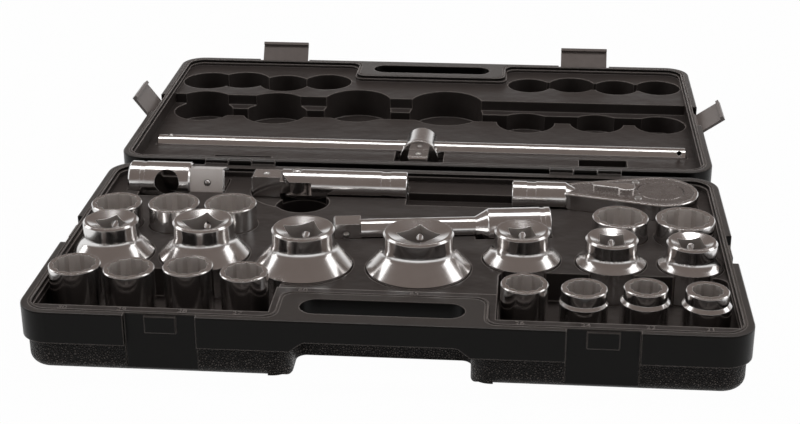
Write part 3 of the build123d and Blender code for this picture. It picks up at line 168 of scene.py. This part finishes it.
class Finish(Nodes):
    """One material: a Principled shader and the nodes that vary it over the piece."""

    def __init__(self, name, **sockets):
        self.material = bpy.data.materials.new(name)
        self.material.use_nodes = True
        super().__init__(self.material.node_tree)
        self.shader = self.tree.nodes["Principled BSDF"]
        self.place = self.node("ShaderNodeTexCoord", out="Object")
        self.show(**sockets)

    def noise(self, size, detail=2.0, roughness=0.5):
        """A smooth mottle whose lumps are that many metres across, from 0 to 1."""
        return self.node(
            "ShaderNodeTexNoise",
            {"normalize": True},
            {"Vector": self.place, "Scale": 1 / size, "Detail": detail, "Roughness": roughness},
            "Fac",
        )

    def cells(self, size):
        """Distance to the borders of cells that many metres across, as a share of a cell."""
        return self.node(
            "ShaderNodeTexVoronoi",
            {"feature": "DISTANCE_TO_EDGE"},
            {"Vector": self.place, "Scale": 1 / size},
            "Distance",
        )

    def on_case(self):
        """Place on the case while it lies open: to the right, to the back and up from the floor."""
        return [self.node("ShaderNodeSeparateXYZ", None, {0: self.place}, axis) for axis in "XYZ"]

    def upward(self):
        """How far the surface faces up while the case lies open, from -1 to 1."""
        facing = self.node("ShaderNodeTexCoord", out="Normal")
        return self.node("ShaderNodeSeparateXYZ", None, {0: facing}, "Z")

    def relief(self, height, depth, edge):
        """Relief that many metres deep, on edges rounded to that radius; gives how near an edge is."""
        rounded = self.node("ShaderNodeBevel", {"samples": EDGE_SAMPLES}, {"Radius": edge})
        bump = self.node(
            "ShaderNodeBump", None, {"Strength": 1.0, "Distance": depth, "Height": height, "Normal": rounded}
        )
        self.show(Normal=bump)
        flat = self.node("ShaderNodeNewGeometry", out="Normal")
        alike = self.node(
            "ShaderNodeVectorMath", {"operation": "DOT_PRODUCT"}, {0: rounded, 1: flat}, "Value"
        )
        return 1 - alike

    def show(self, **sockets):
        self.feed(self.shader, {key.replace("_", " "): value for key, value in sockets.items()})
        return self.material


def grained_case():
    """Black moulded case: leather grain below a smooth band, painted highlights on its edges and on the
    grain's crests, and painted light that makes faces which look up paler.
    """
    finish = Finish("case_black_grained", Specular_IOR_Level=0.12, Coat_Roughness=0.25)
    across, back, up = finish.on_case()
    low = finish.ramp(up, BAND_Z + GRAIN_EDGE, BAND_Z - GRAIN_EDGE)
    recess = finish.ramp(abs(abs(across) - LATCH_X), RECESS_HALF, RECESS_HALF - GRAIN_EDGE)
    inside = CASE_HALF_Y - WALL_REACH
    wall = finish.ramp(abs(back - CASE_MID_Y), inside, inside + WALL_FADE)
    grain = low * (1 - recess * wall)
    pores = finish.ramp(finish.cells(0.0019), 0.0, 0.30)
    fine = finish.noise(0.0006, 3.0, 0.6)
    mottle = finish.noise(0.03, 4.0, 0.6)
    scuff = finish.ramp(finish.noise(0.008, 5.0, 0.7), 0.62, 0.78)
    edge = finish.relief(grain * pores + (1 - grain) * fine * 0.03 + fine * 0.05, 0.0011, 0.0018)
    # Painted highlight: the colour turns pale near edges, where the rounded normal leaves the flat one,
    # standing in for light caught on rounded edges
    painted_edge_highlight = finish.ramp(edge, HIGHLIGHT_BEGINS, HIGHLIGHT_FULL) * (0.5 + mottle * 0.5)
    # Painted highlight: the grain's crests are lightened in colour as glints, more strongly towards the floor
    painted_grain_glint = grain * pores * pores * (0.2 + finish.ramp(up, BAND_Z, 0.0) * 0.5)
    # Painted light: faces that look up are lightened in colour as if lit from above; the same mask also gives
    # them a clear coat
    top = finish.ramp(finish.upward(), 0.5, 0.9)
    return finish.show(
        Base_Color=finish.tint(
            mottle * 0.012 + scuff * 0.01 + painted_grain_glint + painted_edge_highlight * 0.9 + top * (0.06 + mottle * 0.03),
            (0.0034, 0.0029, 0.0023),
            PAINTED_EDGE_HIGHLIGHT,
        ),
        Roughness=0.28 + grain * 0.06 + mottle * 0.08 + scuff * 0.08,
        Coat_Weight=top * 0.8,
    )


def smooth_tray():
    """Blow-moulded tray skin: brownish black with soft waves, a little dust, and painted highlights along its
    edges.
    """
    finish = Finish("tray_black_satin", Specular_IOR_Level=0.35)
    waves = finish.noise(0.022, 2.0, 0.5)
    fine = finish.noise(0.0007, 3.0, 0.6)
    dust = finish.ramp(finish.noise(0.0035, 6.0, 0.75), 0.60, 0.80)
    edge = finish.relief(waves + fine * 0.02, 0.0010, 0.0020)
    # Painted highlight: the colour turns pale near edges, where the rounded normal leaves the flat one,
    # standing in for light caught on rounded edges
    painted_edge_highlight = finish.ramp(edge, HIGHLIGHT_BEGINS, HIGHLIGHT_FULL)
    return finish.show(
        Base_Color=finish.tint(waves * 0.04 + dust * 0.03 + painted_edge_highlight * 0.9, (0.038, 0.031, 0.0285), PAINTED_EDGE_HIGHLIGHT),
        Roughness=0.30 + waves * 0.08 + dust * 0.14,
    )


def latch_plastic():
    """Latch plates: smooth brownish grey, softly mottled."""
    finish = Finish("latch_grey", Specular_IOR_Level=0.4)
    fine = finish.noise(0.0005, 3.0, 0.6)
    mottle = finish.noise(0.012, 4.0, 0.6)
    finish.relief(fine * 0.1 + mottle * 0.4, 0.0003, 0.0007)
    return finish.show(
        Base_Color=finish.tint(mottle, (0.19, 0.16, 0.148), (0.27, 0.23, 0.213)),
        Roughness=0.32 + mottle * 0.14,
    )


def bright_chrome():
    """Polished chrome plate: faint waviness, fine wear and finger haze."""
    finish = Finish("chrome_polished", Metallic=1.0)
    haze = finish.noise(0.011, 4.0, 0.6)
    smear = finish.ramp(finish.noise(0.004, 6.0, 0.7), 0.55, 0.75)
    wear = finish.noise(0.0009, 3.0, 0.6)
    finish.relief(haze + wear * 0.01, 0.00006, 0.0004)
    return finish.show(
        Base_Color=finish.tint(haze, (0.66, 0.645, 0.635), (0.76, 0.75, 0.745)),
        Roughness=0.14 + haze * 0.06 + smear * 0.08,
    )


def broached_bore():
    """Inside faces of mouths and drive squares: satin, with the fine grain that broaching leaves."""
    finish = Finish("chrome_broached", Metallic=1.0)
    haze = finish.noise(0.009, 4.0, 0.6)
    grit = finish.noise(0.0005, 2.0, 0.5)
    finish.relief(grit, 0.00002, 0.0002)
    return finish.show(
        Base_Color=finish.tint(haze, (0.78, 0.75, 0.73), (0.90, 0.87, 0.85)),
        Roughness=0.38 + haze * 0.12,
    )


def ground_plate():
    """The ratchet's flat cover and disc: ground steel with a faint even grain."""
    finish = Finish("ratchet_ground_plate", Metallic=1.0)
    haze = finish.noise(0.007, 4.0, 0.6)
    grit = finish.noise(0.0004, 2.0, 0.5)
    finish.relief(grit, 0.000003, 0.0003)
    return finish.show(
        Base_Color=finish.tint(haze, (0.30, 0.275, 0.265), (0.42, 0.39, 0.38)),
        Roughness=0.20 + haze * 0.14,
    )


def satin_steel():
    """Plain steel of pins, balls and screws."""
    finish = Finish("steel_satin", Metallic=1.0)
    haze = finish.noise(0.003, 4.0, 0.6)
    grit = finish.noise(0.0004, 3.0, 0.6)
    finish.relief(grit, 0.00002, 0.0003)
    return finish.show(
        Base_Color=finish.tint(haze, (0.48, 0.47, 0.46), (0.66, 0.65, 0.64)),
        Roughness=0.22 + haze * 0.14,
    )


CASE = grained_case()
TRAY = smooth_tray()
LATCH = latch_plastic()
CHROME = bright_chrome()
BORE = broached_bore()
GROUND = ground_plate()
STEEL = satin_steel()
BY_SLOT = {"case_plastic": CASE, "tray_plastic": TRAY, "chrome": CHROME, "steel": STEEL}


def dress(node, finish):
    """One finish over a whole node."""
    mesh = node.data
    mesh.materials.clear()
    mesh.materials.append(finish)


def dress_bore(node):
    """The satin finish on a socket's inside faces: those that look towards its upright axis."""
    mesh = node.data
    mesh.materials.append(BORE)
    corners = [Vector(corner) for corner in node.bound_box]
    axis = sum(corners, Vector()) / len(corners)
    for face in mesh.polygons:
        upright = abs(face.normal.z) < 0.1
        inward = Vector((axis.x - face.center.x, axis.y - face.center.y, 0))
        if upright and inward.dot(face.normal) > 0:
            face.material_index = 1


def dress_square(node):
    """The satin finish on the flat sides of the one-inch head's drive."""
    mesh = node.data
    mesh.materials.append(BORE)
    for face in mesh.polygons:
        sideways = abs(face.normal.x) < 0.5
        if sideways and face.center.x > HEAD_1IN_DRIVE_X:
            face.material_index = 1


for entry in frame["record"]["subparts"]:
    name = entry["node"]
    finish = BY_SLOT[entry["material_slot"]]
    if name.startswith("latch_") and name != "latch_pins":
        finish = LATCH
    if name in ("ratchet_cover_plate", "ratchet_drive_wheel"):
        finish = GROUND
    dress(frame["nodes"][name], finish)
    if name.startswith("socket_"):
        dress_bore(frame["nodes"][name])
    if name == "sliding_head_1in":
        dress_square(frame["nodes"][name])


def size_number(size, x, y):
    """A raised number on the tray that names the socket in the pocket beside it."""
    curve = bpy.data.curves.new(f"size_number_{size}", "FONT")
    curve.body = str(size)
    curve.size = NUMBER_H
    curve.extrude = NUMBER_RELIEF
    curve.bevel_depth = NUMBER_EDGE
    curve.align_x = "CENTER"
    curve.align_y = "CENTER"
    curve.materials.append(TRAY)
    number = bpy.data.objects.new(f"size_number_{size}", curve)
    number.location = (x, y, LEDGE_Z + NUMBER_EDGE)
    scene.collection.objects.link(number)
    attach(number, "case_base")


for size, x in LEDGE_NUMBER_X.items():
    size_number(size, x, LEDGE_NUMBER_Y)
for size, x in DECK_NUMBER_X.items():
    size_number(size, x, DECK_NUMBER_Y)


def floor_finish():
    """White sweep: seen as white, with the object's shadow kept."""
    material = bpy.data.materials.new("floor_white")
    material.use_nodes = True
    material.node_tree.nodes.clear()
    sweep = Nodes(material.node_tree)
    lit = sweep.node("ShaderNodeBsdfDiffuse", None, {"Color": (0.6, 0.6, 0.6, 1)})
    glow = sweep.node("ShaderNodeEmission", None, {"Color": (1, 1, 1, 1), "Strength": 1.0})
    mixed = sweep.node("ShaderNodeMixShader", None, {0: sweep.in_view() * FLOOR_GLOW, 1: lit, 2: glow})
    sweep.node("ShaderNodeOutputMaterial", None, {"Surface": mixed}, None)
    return material


def floor_sheet():
    """A flat white floor, just below the case's underside."""
    mesh = bpy.data.meshes.new("floor")
    corners = [(side * FLOOR_HALF, end * FLOOR_HALF, 0) for side, end in ((-1, -1), (1, -1), (1, 1), (-1, 1))]
    mesh.from_pydata(corners, [], [(0, 1, 2, 3)])
    mesh.materials.append(floor_finish())
    floor = bpy.data.objects.new("floor", mesh)
    floor.location = (0, 0, -FLOOR_DROP)
    scene.collection.objects.link(floor)


def lamp(name, place, aim, width, depth, power):
    """A soft box over the set."""
    light = bpy.data.lights.new(name, "AREA")
    light.shape = "RECTANGLE"
    light.size = width
    light.size_y = depth
    light.energy = power
    box = bpy.data.objects.new(name, light)
    box.location = place
    box.rotation_euler = (Vector(aim) - Vector(place)).to_track_quat("-Z", "Y").to_euler()
    scene.collection.objects.link(box)


def surroundings():
    """White round the horizon, dim and warm overhead; the light it gives is even."""
    world = bpy.data.worlds.new("studio")
    scene.world = world
    world.use_nodes = True
    room = Nodes(world.node_tree)
    facing = room.node("ShaderNodeTexCoord", out="Generated")
    rise = room.node("ShaderNodeSeparateXYZ", None, {0: facing}, "Z")
    ceiling = room.ramp(rise, HORIZON_ENDS, CEILING_FULL)
    seen = room.in_view()
    room.feed(
        room.tree.nodes["Background"],
        {
            "Color": room.tint(ceiling * seen, (1, 1, 1), CEILING),
            "Strength": seen + (1 - seen) * STUDIO_FILL,
        },
    )


floor_sheet()
surroundings()
lamp("overhead_box", place=(0, 0.40, 1.6), aim=(0, 0.25, 0), width=1.7, depth=0.45, power=10.0)
for name, side in (("left_box", -1), ("right_box", 1)):
    lamp(name, place=(side * 1.3, 0.3, 1.0), aim=(0, 0.1, 0.03), width=0.5, depth=1.4, power=4.0)


def camera():
    """The photograph's viewpoint, fitted to the case's rims and the socket mouths."""
    yaw, pitch, roll = (math.radians(turn) for turn in (EYE_YAW, EYE_PITCH, EYE_ROLL))
    ahead = Vector((math.sin(yaw) * math.cos(pitch), math.cos(yaw) * math.cos(pitch), -math.sin(pitch)))
    level = Vector((math.cos(yaw), -math.sin(yaw), 0))
    above = level.cross(ahead)
    right = math.cos(roll) * level + math.sin(roll) * above
    up = math.cos(roll) * above - math.sin(roll) * level
    lens = bpy.data.cameras.new("camera")
    lens.sensor_width = SENSOR_WIDTH
    lens.lens = FOCAL_PIXELS / PHOTO_WIDTH * SENSOR_WIDTH
    lens.clip_start = 0.01
    shot = bpy.data.objects.new("camera", lens)
    turn = Matrix((right, up, -ahead)).transposed().to_4x4()
    shot.matrix_world = Matrix.Translation(EYE) @ turn
    scene.collection.objects.link(shot)
    scene.camera = shot


camera()

bpy.context.view_layer.update()
